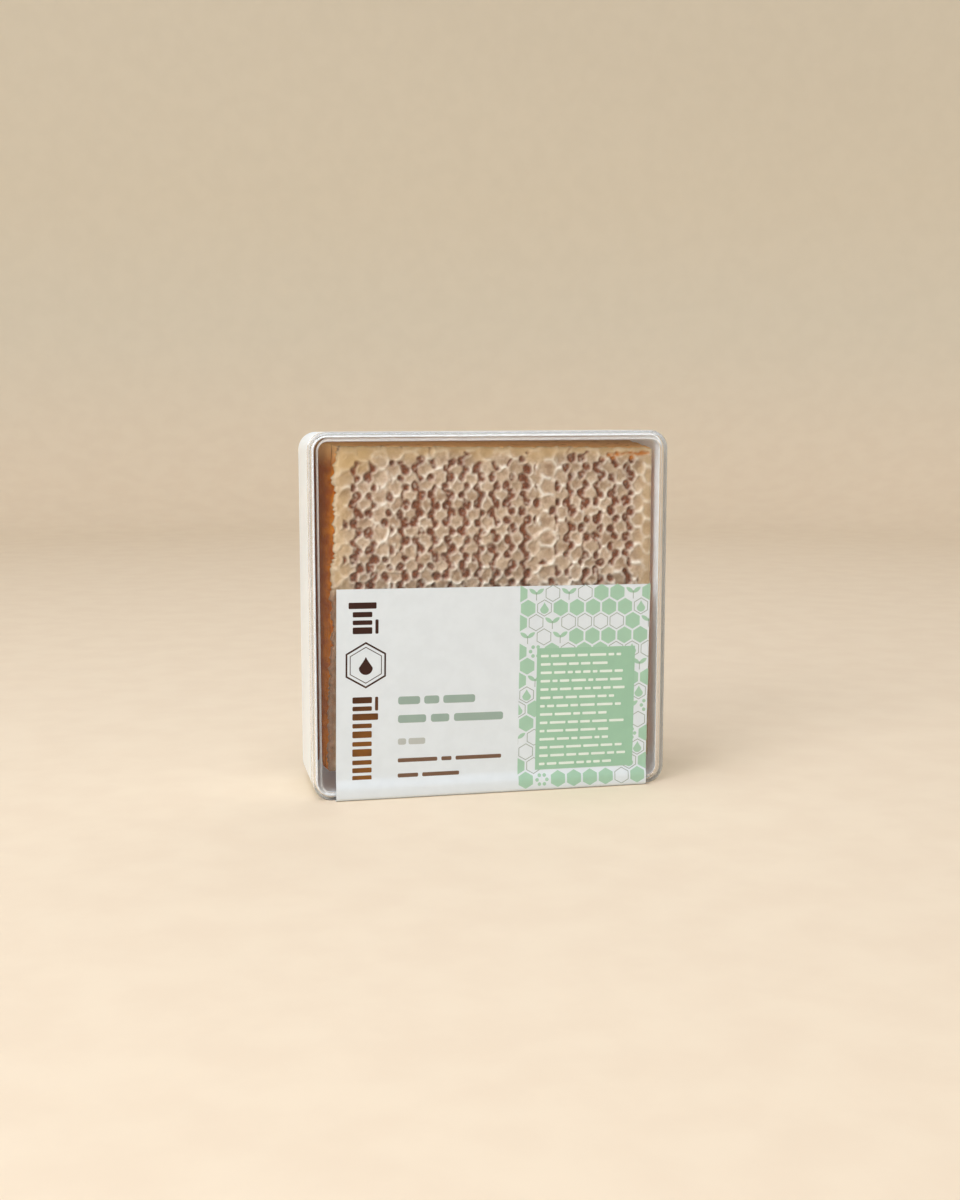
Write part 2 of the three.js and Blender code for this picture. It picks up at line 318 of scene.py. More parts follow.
# %% Honey
# Painted light: near the top of the comb the honey is painted towards this pale colour.
TOP_LIT_HONEY = srgb(255, 222, 164)
TOP_LIGHT_FROM, TOP_LIGHT_TO = 94 * MM, 102 * MM
# Painted shade: honey is painted towards this colour from the capping inwards, where less light
# reaches.
SHADED_HONEY = srgb(138, 48, 4)
SHADE_FROM, SHADE_TO = front_low.y + 2 * MM, front_low.y + 10 * MM


def honey(name, light, dark, glow, glow_strength):
    material, tree, shader = start_material(
        name, Roughness=0.4, IOR=1.35, Specular_IOR_Level=0.0,
        Emission_Color=glow, Emission_Strength=glow_strength,
    )
    cells = ramp(tree, object_noise(tree, 230, 4, 0.6, (1, 0.3, 1)), 0.38, 0.62)
    streaks = ramp(tree, object_noise(tree, 260, 3, 0.5, (1, 3.2, 0.3)), 0.55, 0.75, 0.0, 0.7)
    body_colour = mix_colour(tree, cells, dark, light)
    # Painted shade: the honey darkens from the capping inwards, deeper in the gap.
    inward_shade = ramp(tree, object_place(tree, "Y"), SHADE_FROM, SHADE_TO, 0, 0.85)
    body_colour = mix_colour(tree, inward_shade, body_colour, SHADED_HONEY)
    # Painted light: the honey along the top is painted paler, where light from above comes through
    # the tray.
    top_light = ramp(tree, object_place(tree, "Z"), TOP_LIGHT_FROM, TOP_LIGHT_TO, 0, 0.9)
    body_colour = mix_colour(tree, top_light, body_colour, TOP_LIT_HONEY)
    paint(tree, shader, streaks, body_colour, tuple(c * 0.45 for c in dark[:3]) + (1,))
    add_bump(tree, shader, object_noise(tree, 500, 2), 0.2, 0.0004)
    count_nodes(material)
    return material


pale_honey = honey(
    "amber honey", srgb(228, 140, 22), srgb(180, 88, 8), srgb(255, 140, 0), 0.06
)
# The back layer is darker partly by its own colour and partly by painted shade, as less light
# reaches it behind the midrib.
dark_shaded_honey = honey(
    "dark honey with painted shade", srgb(190, 76, 10), srgb(146, 46, 4), srgb(255, 110, 0), 0.025
)

# %% [markdown]
# A small helper turns a finished bmesh into a smooth object at the origin. A piece of the pack is
# also sharp across its real edges, rides on a body, and hides the model's parts whose place it
# takes.

# %% Piece helper
SHARP_ANGLE = 38


def make_object(name, bm, material):
    mesh = bpy.data.meshes.new(name)
    bm.to_mesh(mesh)
    bm.free()
    mesh.shade_smooth()
    mesh.materials.append(material)
    made = bpy.data.objects.new(name, mesh)
    scene.collection.objects.link(made)
    print(name, "has", len(mesh.polygons), "faces")
    return made


def make_piece(name, bm, material, replaced=(), sharp=SHARP_ANGLE):
    piece = make_object(name, bm, material)
    piece.data.set_sharp_from_angle(angle=math.radians(sharp))
    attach(piece, "root")
    if replaced:
        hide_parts(*replaced)


print("edges that bend by more than", SHARP_ANGLE, "degrees stay sharp")

# %% [markdown]
# Tray and lid are both shells on the same rounded square. Each starts as a flat square whose
# corners are bevelled round, is extruded into a slab, and is then walked along its section: every
# step insets a face and moves it along its own normal. Inset keeps the corner arcs true, which
# scaling would not.

# %% Rounded square shells
CORNER_SEGMENTS = 14


def rounded_slab(rear_depth, front_depth):
    """A solid slab of the pack's outline between two depths behind the lid's front."""
    bm = bmesh.new()
    bmesh.ops.create_grid(bm, x_segments=1, y_segments=1, size=0.5)
    stand_up = Matrix.Rotation(math.pi / 2, 4, "X") @ Matrix.Diagonal((2 * HALF, HEIGHT, 1, 1))
    bmesh.ops.transform(bm, matrix=stand_up, verts=bm.verts[:])
    bmesh.ops.translate(bm, vec=(0, FRONT + rear_depth, MIDDLE_Z), verts=bm.verts[:])
    bmesh.ops.bevel(
        bm, geom=bm.verts[:], offset=CORNER_RADIUS, offset_type="OFFSET",
        segments=CORNER_SEGMENTS, profile=0.5, affect="VERTICES", material=-1,
    )
    grown = bmesh.ops.extrude_face_region(bm, geom=bm.faces[:])["geom"]
    moved = [part for part in grown if isinstance(part, bmesh.types.BMVert)]
    bmesh.ops.translate(bm, vec=(0, front_depth - rear_depth, 0), verts=moved)
    bmesh.ops.recalc_face_normals(bm, faces=bm.faces[:])
    by_depth = sorted(bm.faces, key=lambda face: face.calc_center_median().y)
    return bm, by_depth[0], by_depth[-1]


def walk_section(bm, face, points, outward):
    """Insets a face along section points of (inset, depth). outward: -1 in front, 1 behind."""
    for (inset, depth), (next_inset, next_depth) in zip(points, points[1:]):
        bmesh.ops.inset_individual(
            bm, faces=[face], thickness=next_inset - inset,
            depth=(next_depth - depth) * outward, use_even_offset=True,
        )


def arc(start, end, steps, bulge_first):
    """Quarter-ellipse points from start to end. bulge_first moves along depth before inset."""
    points = []
    for step in range(1, steps + 1):
        angle = math.pi / 2 * step / steps
        fast, slow = math.sin(angle), 1 - math.cos(angle)
        across, along = (slow, fast) if bulge_first else (fast, slow)
        points.append((
            start[0] + (end[0] - start[0]) * across,
            start[1] + (end[1] - start[1]) * along,
        ))
    return points


def draw_in(bm):
    """Narrows a shell towards the back by the draft. The underside stays flat."""
    for vert in bm.verts:
        shrink = math.tan(DRAFT) * (vert.co.y - FRONT)
        vert.co.x *= (HALF - shrink) / HALF
        vert.co.z = BASE + (vert.co.z - BASE) * (HEIGHT - shrink) / HEIGHT


print("corners of", CORNER_RADIUS, "m are drawn with", CORNER_SEGMENTS, "segments")

# %% [markdown]
# The tray is open towards the lid: a rounded rear edge, an outer wall, a shoulder that the lid's
# skirt meets, a thinner lip inside the skirt, and the smooth inside with its floor.

# %% Tray
WALL = 1.35 * MM
TRAY_FLOOR = 1.3 * MM
LIP_OUTER = 1.05 * MM
LIP_INNER = 1.45 * MM
LIP_FRONT = 2.1 * MM
SHOULDER = 7.15 * MM
REAR_ROUND = 2.1 * MM
SMALL_ROUND = 0.2 * MM
depth_of_pack = BACK - FRONT
floor_depth = depth_of_pack - TRAY_FLOOR

bm, front_face, rear_face = rounded_slab(depth_of_pack - REAR_ROUND, SHOULDER)
rear = [(0, depth_of_pack - REAR_ROUND)]
rear += arc(rear[-1], (REAR_ROUND, depth_of_pack), 7, True)
rear += [(REAR_ROUND + SMALL_ROUND, depth_of_pack)]
walk_section(bm, rear_face, rear, 1)
inside = [(0, SHOULDER), (LIP_OUTER, SHOULDER), (LIP_OUTER, LIP_FRONT + SMALL_ROUND)]
inside += arc(inside[-1], (LIP_OUTER + SMALL_ROUND, LIP_FRONT), 3, True)
inside += [(LIP_INNER - SMALL_ROUND, LIP_FRONT)]
inside += arc(inside[-1], (LIP_INNER, LIP_FRONT + SMALL_ROUND), 3, False)
inside += [(LIP_INNER, SHOULDER + 0.4 * MM), (WALL, SHOULDER + 1.4 * MM)]
inside += [(WALL, floor_depth - 0.7 * MM)]
inside += arc(inside[-1], (WALL + 0.7 * MM, floor_depth), 4, True)
inside += [(WALL + 1.2 * MM, floor_depth)]
walk_section(bm, front_face, inside, -1)
draw_in(bm)
make_piece("tray_shell", bm, white_plastic, ["tray"])

# %% [markdown]
# The lid is one clear moulding: a skirt that slips over the lip, a raised and rounded rim, and the
# flat panel set a little behind it. The small radii along the rim are what draws the bright and
# dark lines round the window, so they are real geometry.

# %% Lid
SKIRT_DEPTH = 7 * MM
SKIRT_WALL = 0.9 * MM
PANEL_RECESS = 0.8 * MM
PANEL_BACK = 1.8 * MM
RIM_WIDTH = 2.4 * MM

bm, front_face, rear_face = rounded_slab(SKIRT_DEPTH, 1.1 * MM)
outside = [(0, 1.1 * MM)]
outside += arc(outside[-1], (1.0 * MM, 0), 6, True)
outside += [(RIM_WIDTH - 0.75 * MM, 0)]
outside += arc(outside[-1], (RIM_WIDTH, 0.55 * MM), 5, False)
outside += arc(outside[-1], (RIM_WIDTH + 0.25 * MM, PANEL_RECESS), 3, True)
outside += [(RIM_WIDTH + 0.45 * MM, PANEL_RECESS)]
walk_section(bm, front_face, outside, -1)
within = [(0, SKIRT_DEPTH), (SKIRT_WALL, SKIRT_DEPTH), (SKIRT_WALL, PANEL_BACK + 0.3 * MM)]
within += arc(within[-1], (SKIRT_WALL + 0.3 * MM, PANEL_BACK), 3, True)
within += [(SKIRT_WALL + 0.6 * MM, PANEL_BACK)]
walk_section(bm, rear_face, within, 1)
draw_in(bm)
make_piece("lid_shell", bm, clear_plastic, ["lid"])

# %% [markdown]
# Natural comb looks regular from afar and never is. Its face follows from one rule: cells are the
# regions nearest to jittered centres on a hexagonal lattice. The second-nearest centre gives
# the walls between cells, and the third gives the corners, where three cells meet and the wax
# dips into dark wet pits. All of it is arithmetic on the whole sheet at once, so numpy does it.

# %% Lattice of cells
CELL_PITCH = 5.1
COLUMN_STEP = 4.5
FIRST_COLUMN = -40.9
CENTRE_JITTER = 0.34
COLUMNS = 26
ROWS = 24

draw = np.random.default_rng(41)
centre_shift = draw.uniform(-CENTRE_JITTER, CENTRE_JITTER, (COLUMNS, ROWS, 2))
cell_random = draw.uniform(0, 1, (COLUMNS, ROWS, 4))


def smooth_noise(x, z, size, seed):
    """Soft noise between -1 and 1, whose lumps are about size across."""
    table = np.random.default_rng(seed).uniform(-1, 1, (64, 64))
    u, v = x / size + 1000.37, z / size + 1000.71
    left, low = np.floor(u).astype(int), np.floor(v).astype(int)
    across, along = u - left, v - low
    across, along = across ** 2 * (3 - 2 * across), along ** 2 * (3 - 2 * along)
    corner = [table[(left + i) % 64, (low + j) % 64] for i in (0, 1) for j in (0, 1)]
    lower = corner[0] * (1 - across) + corner[2] * across
    upper = corner[1] * (1 - across) + corner[3] * across
    return lower * (1 - along) + upper * along


def soft_step(low, high, value):
    share = np.clip((value - low) / (high - low), 0, 1)
    return share * share * (3 - 2 * share)


def nearest_cells(x, z):
    """The three nearest cells of each point, nearest first: distances, columns, rows, centres."""
    column = np.round((x - FIRST_COLUMN) / COLUMN_STEP).astype(int)
    found = []
    for side in (-1, 0, 1):
        i = column + side
        offset = (i % 2) * 0.5
        row = np.round(z / CELL_PITCH - offset).astype(int)
        for above in (-1, 0, 1):
            j = row + above
            shift = centre_shift[i % COLUMNS, j % ROWS]
            centre_x = FIRST_COLUMN + i * COLUMN_STEP + shift[:, 0]
            centre_z = (j + offset) * CELL_PITCH + shift[:, 1]
            distance = np.hypot(x - centre_x, z - centre_z)
            found.append((distance, i, j, centre_x, centre_z))
    distances = np.stack([entry[0] for entry in found])
    order = np.argsort(distances, axis=0)[:3]
    return [np.take_along_axis(np.stack([entry[k] for entry in found]), order, 0) for k in range(5)]


print("cell lattice of", COLUMNS, "columns and", ROWS, "rows")

# %% [markdown]
# The wet pits run in upright chains between the columns, but some chains are faint, and the wax is
# dry along the left, the top and the right. A dry band is its middle, its reach and the share of
# pits it loses. Cracks and a torn crevice mark the top edge: a crack is its top, length and slant.

# %% Where the pits are
DRY_BANDS = ((-30.2, 1.9, 0.7), (17.0, 4.6, 0.85), (48.0, 4.6, 0.97), (-46.0, 6.6, 0.97))
PIT_TOP = 98.8
CRACKS = (
    (-43.2, 100.6, 1.9, 0.1), (-31.2, 101.0, 1.0, 0.7), (-25.7, 100.9, 1.1, -0.5),
    (-17.1, 100.5, 1.9, 0.35), (-15.5, 101.2, 1.3, -0.7), (24.5, 100.0, 1.6, 1.2),
)
CREVICE = (36.2, 98.0, 48.8, 98.7)
HOLE = (36.0, 98.0, 0.55)


def pit_strength(x, z):
    strength = np.ones_like(x)
    for middle, reach, drop in DRY_BANDS:
        strength *= 1 - drop * soft_step(reach, reach * 0.45, np.abs(x - middle))
    ragged_top = PIT_TOP + 1.8 * smooth_noise(x, z * 0, 6.0, 8)
    strength *= soft_step(ragged_top + 1.0, ragged_top - 2.5, z)
    return strength * (0.9 + 0.25 * smooth_noise(x, z, 11.0, 9))


def to_line(x, z, start, end):
    """Distance to a straight line between two points, and how far along it the nearest point is."""
    run_x, run_z = end[0] - start[0], end[1] - start[1]
    share = ((x - start[0]) * run_x + (z - start[1]) * run_z) / (run_x ** 2 + run_z ** 2)
    share = np.clip(share, 0, 1)
    return np.hypot(x - start[0] - share * run_x, z - start[1] - share * run_z), share


def to_tears(x, z):
    """Signed distance to the cracks, the crevice and its hole."""
    wobble = 0.25 * smooth_noise(x, z, 1.3, 40) + 0.12 * smooth_noise(x, z, 0.5, 41)
    nearest = np.hypot(x - HOLE[0], z - HOLE[1]) - HOLE[2]
    for top_x, top_z, length, slant in CRACKS:
        foot = (top_x - slant * length * 0.7, top_z - length)
        distance, share = to_line(x + wobble, z, (top_x, top_z + 0.5), foot)
        nearest = np.minimum(nearest, distance - 0.3 * (1 - share))
    distance, share = to_line(x, z + 2 * wobble, CREVICE[:2], CREVICE[2:])
    width = 0.28 + 0.3 * smooth_noise(x, z * 0, 2.2, 42)
    return np.minimum(nearest, distance - width)


print(len(DRY_BANDS), "dry bands,", len(CRACKS), "cracks and one crevice")

# %% [markdown]
# A pit opens where three cells meet, and channels join the pits along the walls that slant from
# one column to the next. Each pit and wall needs a size of its own, so the numbers of the cells
# round it are hashed into a share between 0 and 1. Distances are below zero inside the dark.

# %% Distance to the dark
PIT_REACH = (0.82, 1.34)
PIT_LEAN = 1.4
PIT_STRETCH = (1.05, 0.88)
CHANNEL_REACH = (0.15, 0.68)
FAR = 9.0


def hashed(numbers):
    """A repeatable number between 0 and 1 for each whole number."""
    return np.modf(np.abs(np.sin(numbers * 12.9898 + 4.1)) * 43758.5453)[0]


def between(limits, share):
    return limits[0] + (limits[1] - limits[0]) * share


def meeting_point(cx, cz):
    """Where the three nearest cells meet: the centre of the circle through their centres."""
    ax, az, bx, bz = cx[1] - cx[0], cz[1] - cz[0], cx[2] - cx[0], cz[2] - cz[0]
    twist = 2 * (ax * bz - az * bx)
    twist = np.where(np.abs(twist) < 1e-6, 1e-6, twist)
    a2, b2 = ax ** 2 + az ** 2, bx ** 2 + bz ** 2
    return cx[0] + (bz * a2 - az * b2) / twist, cz[0] + (ax * b2 - bx * a2) / twist


def to_pits(off_x, off_z, key, strength):
    """Distance to the leaning oval pit of a corner, for points off_x, off_z away from it."""
    lean = (hashed(key + 19) - 0.5) * PIT_LEAN
    across = off_x * np.cos(lean) + off_z * np.sin(lean)
    along = off_z * np.cos(lean) - off_x * np.sin(lean)
    edge = np.hypot(across * PIT_STRETCH[0], along * PIT_STRETCH[1])
    edge = edge - between(PIT_REACH, hashed(key + 7))
    return np.where(hashed(key) < 0.97 * strength, edge, FAR)


def to_channels(wall, key, slanted, strength):
    open_wall = hashed(key + 3) < 0.76 * strength - 0.3 * (strength < 0.5)
    return np.where(slanted & open_wall, wall - between(CHANNEL_REACH, hashed(key + 5)), FAR)


print("pits reach", PIT_REACH, "mm and channels", CHANNEL_REACH, "mm")

# %% [markdown]
# The relief follows from those distances. Wax rises in a ring along the cell walls and in a rim
# round each pit, the caps between the rings sag, and the pits are sunk. The same numbers make the
# masks that the wax material reads.

# %% Relief and masks of the capping
RING_WIDTH = 0.45
RING_RISE = 0.55
RIM_AT, RIM_SPREAD = 0.36, 0.24
PIT_DEPTH = 0.8
PIT_SLOPE = (0.16, -0.2)
BOWL_REACH = 2.4


def comb_face(x, z):
    """Height towards the viewer in millimetres, and three masks, for points on the comb."""
    warp_x = 0.24 * smooth_noise(x, z, 2.1, 1) + 0.17 * smooth_noise(x, z, 0.9, 2)
    warp_z = 0.36 * smooth_noise(x, z, 2.1, 3) + 0.17 * smooth_noise(x, z, 0.9, 4)
    px, pz = x + warp_x, z + warp_z
    distance, column, row, cx, cz = nearest_cells(px, pz)
    key = column * 131 + row * 17
    between_centres = np.hypot(cx[1] - cx[0], cz[1] - cz[0])
    wall = (distance[1] ** 2 - distance[0] ** 2) / (2 * between_centres)
    corner_x, corner_z = meeting_point(cx, cz)
    strength = pit_strength(x, z)
    slanted = column[0] != column[1]
    to_dark = np.minimum(
        to_pits(px - corner_x, pz - corner_z, key[0] + key[1] + key[2], strength),
        to_channels(wall, key[0] + key[1], slanted, strength),
    )
    to_dark = to_dark + 0.14 * smooth_noise(x, z, 0.8, 5)
    to_dark = np.minimum(to_dark, to_tears(x, z))

    pits_and_shade = soft_step(*PIT_SLOPE, to_dark)
    rim = np.exp(-(((to_dark - RIM_AT) / RIM_SPREAD) ** 2))
    crest = np.exp(-((wall / RING_WIDTH) ** 2)) * soft_step(0.0, 0.5, to_dark)
    faint = np.clip(np.where(slanted, 0.42, 0.9) + 0.9 * smooth_noise(x, z, 1.5, 6), 0.05, 1)
    ring = np.clip(np.maximum(rim * 0.75, crest) * faint, 0, 1) * (1 - pits_and_shade)
    speckle = soft_step(0.25, 0.7, smooth_noise(x, z, 0.55, 7)) * pits_and_shade

    # Each cap sags by its own amount, and looks darker in its middle.
    drawn = cell_random[column[0] % COLUMNS, row[0] % ROWS]
    bowl = 1 - np.clip(distance[0] / BOWL_REACH, 0, 1) ** 2
    tone = 0.55 * drawn[:, 1] + 0.4 * (1 - bowl) + 0.28 * smooth_noise(x, z, 1.1, 13)
    cap_lift = (drawn[:, 0] * 0.8 - 0.62) * bowl
    height = RING_RISE * ring - PIT_DEPTH * pits_and_shade + cap_lift + 0.35 * speckle
    height += 0.3 * smooth_noise(x, z, 14.0, 10) + 0.13 * smooth_noise(x, z, 1.3, 11)
    height += 0.06 * smooth_noise(x, z, 0.6, 12)
    ring = np.maximum(ring, 0.75 * speckle)
    return height, ring, pits_and_shade * (1 - 0.55 * speckle), np.clip(tone, 0, 1)


print("rings rise", RING_RISE, "mm and pits sink", PIT_DEPTH, "mm")

# %% [markdown]
# The sheet of capping is one fine grid, bent to the outline of the cut comb, whose left side leans
# and whose top falls a little to the right. Rows are close together where the window shows the
# comb and wider behind the label, where no one can see the detail.

# %% Grid of the capping
COMB_LEAN = 3.0
TOP_FALL = 1.3
ACROSS = 330
FINE_ROWS = 150
WIDE_ROWS = 84
LABEL_OVERLAP = 4.0
label_top = (label_high - LABEL_OVERLAP * MM) / MM
cap_left, cap_right = cap_low.x / MM, cap_high.x / MM
cap_bottom, cap_top = cap_low.z / MM, cap_high.z / MM
cap_width, cap_height = cap_right - cap_left, cap_top - cap_bottom


def comb_outline(u, v):
    """A place on the comb in millimetres, for shares u across and v up."""
    z = cap_bottom + cap_height * v
    left = cap_left + COMB_LEAN * v
    x = left + (cap_right - left) * u
    z = z - TOP_FALL * u * v
    return x, z


bm = bmesh.new()
bmesh.ops.create_grid(bm, x_segments=ACROSS, y_segments=FINE_ROWS + WIDE_ROWS, size=0.5)
flat = np.array([vert.co[:2] for vert in bm.verts]) + 0.5
u, v = flat[:, 0], flat[:, 1]
split = WIDE_ROWS / (FINE_ROWS + WIDE_ROWS)
label_share = (label_top - cap_bottom) / cap_height
behind_label = v / split * label_share
in_window = label_share + (v - split) / (1 - split) * (1 - label_share)
v = np.where(v < split, behind_label, in_window)
x, z = comb_outline(u, v)
print("capping grid has", len(bm.verts), "points over", cap_width, "by", cap_height, "mm")

# %% [markdown]
# A knife left the comb's edges ragged, and the wax beside them dried, yellowed and lost its rings.
# Each effect is full at an edge and fades a few millimetres inwards, so it follows from the
# distance to that edge. The window's lower left corner lies in shade beside the label, so painted
# shade darkens it with the pits' colour.

# %% Ragged and yellowed edges
EDGE_NOISE_REACH = 1.4
TOP_NOISE_REACH = 1.2
CORNER_REACH = (17, 12)
LEFT_RIDGE_AT, LEFT_RIDGE_WIDTH = 0.45, 0.35
EDGE_DROP, EDGE_DROP_REACH = 0.8, 0.35
CORNER_SHADE_BELOW = (64, 56)


def dry_edge(distance, reach, most, wobble, lump, seed):
    """Yellowed wax along one edge: at most at the edge, gone at reach, with a wavy limit."""
    return most * soft_step(reach, 0.5, distance + wobble * smooth_noise(x, z, lump, seed))


from_left, from_right = u * cap_width, (1 - u) * cap_width
from_top, from_bottom = (1 - v) * cap_height, v * cap_height
from_edge = np.minimum(np.minimum(from_left, from_right), np.minimum(from_top, from_bottom))

ragged = 0.55 * smooth_noise(z, z * 0, 1.5, 20) + 0.45 * smooth_noise(z, z * 0, 0.6, 21)
ragged += 0.5 * smooth_noise(z, z * 0, 4.0, 22)
x = x + ragged * np.exp(-from_left / EDGE_NOISE_REACH)
ragged_top = 0.3 * smooth_noise(x, x * 0, 1.8, 23) + 0.2 * smooth_noise(x, x * 0, 0.6, 24)
z = z + ragged_top * np.exp(-from_top / TOP_NOISE_REACH)
height, ring, pits_and_shade, cell_tone = comb_face(x, z)

corner = np.hypot(from_left / CORNER_REACH[0], from_top / CORNER_REACH[1])
edge_wax = np.maximum.reduce([
    dry_edge(from_top, 4.6, 0.62, 1.6, 5.0, 26),
    dry_edge(from_left, 7.0, 0.5, 1.5, 4.0, 27),
    dry_edge(from_right, 6.0, 0.34, 1.2, 4.0, 28),
    0.8 * soft_step(1.0, 0.45, corner),
])
ring = ring * (1 - 0.5 * edge_wax)
cell_tone = cell_tone * (1 - 0.6 * soft_step(8.0, 2.0, from_right))
# Painted shade: the wax along the window's lower left edge gets the pits' dark colour, for it lies
# in shade beside the label.
painted_corner_shade = soft_step(3.4, 0.4, from_left + ragged) * soft_step(*CORNER_SHADE_BELOW, z)
pits_and_shade = np.maximum(pits_and_shade, 0.75 * painted_corner_shade)
left_ridge = np.exp(-((from_left - LEFT_RIDGE_AT) / LEFT_RIDGE_WIDTH) ** 2)
ring = np.maximum(ring, 0.7 * left_ridge)
calm = soft_step(0.2, 2.2, from_edge)
height = height * (0.35 + 0.65 * calm) * (1 - 0.45 * edge_wax)
height = height - EDGE_DROP * np.exp(-from_edge / EDGE_DROP_REACH)
print("relief runs from", height.min(), "to", height.max(), "mm")

# %% [markdown]
# The sheet takes its heights and masks point by point, after one light averaging over the grid,
# because a step from one point to the next would show as a saw edge. The border is then drawn
# back and closed behind, so the sheet is a solid.

# %% Capping sheet
CAP_PLANE = 0.5
CAP_SINK_BACK = 1.9
HIDDEN_MASKS = (0, 0.35, 0.5, 0.9)
CAP_SHARP_ANGLE = 85


def relaxed(values):
    """Values on the grid, each averaged with its neighbours."""
    field = values.reshape(FINE_ROWS + WIDE_ROWS + 1, ACROSS + 1)
    field = np.pad(field, 1, mode="edge")
    field = (field[:-2] + 2 * field[1:-1] + field[2:]) / 4
    field = (field[:, :-2] + 2 * field[:, 1:-1] + field[:, 2:]) / 4
    return field.ravel()


height, pits_and_shade, ring = relaxed(height), relaxed(pits_and_shade), relaxed(ring)
cap_plane = cap_low.y / MM + CAP_PLANE
masks = bm.verts.layers.float_color.new(CAP_MASKS)
for index, vert in enumerate(bm.verts):
    vert.co = Vector((x[index], cap_plane - height[index], z[index])) * MM
    vert[masks] = (ring[index], pits_and_shade[index], cell_tone[index], edge_wax[index])
border = [edge for edge in bm.edges if edge.is_boundary]
grown = bmesh.ops.extrude_edge_only(bm, edges=border)["geom"]
for vert in (part for part in grown if isinstance(part, bmesh.types.BMVert)):
    vert.co.y = (cap_plane + CAP_SINK_BACK) * MM
    vert[masks] = HIDDEN_MASKS
rear_edges = [part for part in grown if isinstance(part, bmesh.types.BMEdge)]
bmesh.ops.holes_fill(bm, edges=rear_edges, sides=0)
bmesh.ops.recalc_face_normals(bm, faces=bm.faces[:])
make_piece("capping_sheet", bm, capping_wax, ["wax_capping"], CAP_SHARP_ANGLE)

# %% [markdown]
# Behind the capping the comb is honey in its cells. The knife went through them, so each side is
# fluted where it cut a row of cells open. The comb spreads a little towards the tray's floor, where
# honey settled, and so the gap beside it shows amber all the way down.

# %% Honey layers
LAYER_CUTS = 56
WALL_GAP = 0.6
SPREAD_TOP = 2.1
FLUTE = 0.22
ON_SIDE = 1e-4


def honey_layer(name, low, high, material, node, seed):
    """A layer between two box corners. seed picks the waviness of its cut sides."""
    bm = bmesh.new()
    bmesh.ops.create_cube(bm, size=1)
    bmesh.ops.subdivide_edges(bm, edges=bm.edges[:], cuts=LAYER_CUTS, use_grid_fill=True)
    share = np.array([vert.co[:] for vert in bm.verts]) + 0.5
    u, t, v = share[:, 0], share[:, 1], share[:, 2]
    x, z = comb_outline(u, v)
    y = (low.y + (high.y - low.y) * t) / MM
    behind = np.clip((y - cap_high.y / MM) / ((back_high.y - cap_high.y) / MM), 0, 1)
    tray_wall = (WALL - HALF) / MM + math.tan(DRAFT) * (y - FRONT / MM)
    x = x + (tray_wall + WALL_GAP - x) * behind ** 0.8 * np.clip(1 - u * 4, 0, 1)
    z = z + SPREAD_TOP * behind * np.clip(v * 3 - 2, 0, 1)
    row = np.abs(np.sin(np.pi * z / CELL_PITCH))
    column = np.abs(np.sin(np.pi * (x - FIRST_COLUMN) / COLUMN_STEP))
    wavy_side = 0.16 * smooth_noise(z, y, 2.4, seed)
    x = x + np.where(u < ON_SIDE, FLUTE * row + wavy_side, 0)
    x = x - np.where(u > 1 - ON_SIDE, FLUTE * row, 0)
    wavy_top = 0.2 * smooth_noise(x, y, 3.0, seed + 1)
    z = z - np.where(v > 1 - ON_SIDE, FLUTE * column + wavy_top, 0)
    z = z + np.where(v < ON_SIDE, FLUTE * column, 0)
    for index, vert in enumerate(bm.verts):
        vert.co = Vector((x[index], y[index], z[index])) * MM
    make_piece(name, bm, material, [node])


honey_layer(
    "front_honey", front_low, front_high, pale_honey, "honey_cells_front", 31
)
honey_layer("back_honey", back_low, back_high, dark_shaded_honey, "honey_cells_back", 35)

# %% [markdown]
# The label is one strip of paper: down the lid's panel, over the rim, under the pack and up its
# back, set slightly askew. It starts as a grid whose rows are placed one by one along that path,
# which is the paper's outer side. The solidify operator adds the thickness.

# %% Label strip
PAPER = 0.2
LABEL_LEFT, LABEL_RIGHT = -46.05, 46.8
FRONT_HEIGHT, BACK_HEIGHT = 60.4, 55.0
LABEL_LEAN = 0.0138
TOP_SLOPE = 0.0096
SQUARE_BELOW = 20
PAPER_OUTSIDE = 0.28
RIM_CLIMB_FROM = 6.2
RIM_CLIMB = 3.7
FRONT_FOLD, BACK_FOLD = 1.0, 1.75
LABEL_COLUMNS = 40
panel_y = (FRONT + PANEL_RECESS) / MM - PAPER_OUTSIDE
rim_y = FRONT / MM - PAPER_OUTSIDE
under_z = BASE / MM - PAPER_OUTSIDE
back_y = BACK / MM + PAPER_OUTSIDE
base_z = BASE / MM


def fold(middle_y, middle_z, radius, first, last, steps):
    """Points (y, z) along an arc between two angles in degrees."""
    turns = [math.radians(first + (last - first) * step / steps) for step in range(steps + 1)]
    return [(middle_y + radius * math.cos(a), middle_z + radius * math.sin(a)) for a in turns]


def label_path():
    """The strip's side view as (y, z) in millimetres, from its top edge to its end on the back."""
    drops = np.linspace(0, FRONT_HEIGHT - RIM_CLIMB_FROM, 24)
    path = [(panel_y, base_z + FRONT_HEIGHT - drop) for drop in drops]
    for share in np.linspace(0, 1, 9)[1:]:
        ease = share * share * (3 - 2 * share)
        z = base_z + RIM_CLIMB_FROM - RIM_CLIMB * share
        path.append((panel_y + (rim_y - panel_y) * ease, z))
    path += fold(rim_y + FRONT_FOLD, under_z + FRONT_FOLD, FRONT_FOLD, 180, 270, 7)
    path += [(y, under_z) for y in np.linspace(rim_y + 3, back_y - 4, 12)]
    path += fold(back_y - BACK_FOLD, under_z + BACK_FOLD, BACK_FOLD, 270, 360, 8)
    path += [(back_y, z) for z in np.linspace(under_z + 4, base_z + BACK_HEIGHT, 16)]
    return path


def askew(x, z):
    """Leans the strip and slopes its rows, less and less towards the straight lower edge."""
    slope = TOP_SLOPE * x if z > SQUARE_BELOW else TOP_SLOPE * x * z / SQUARE_BELOW
    return x + LABEL_LEAN * z, z - slope


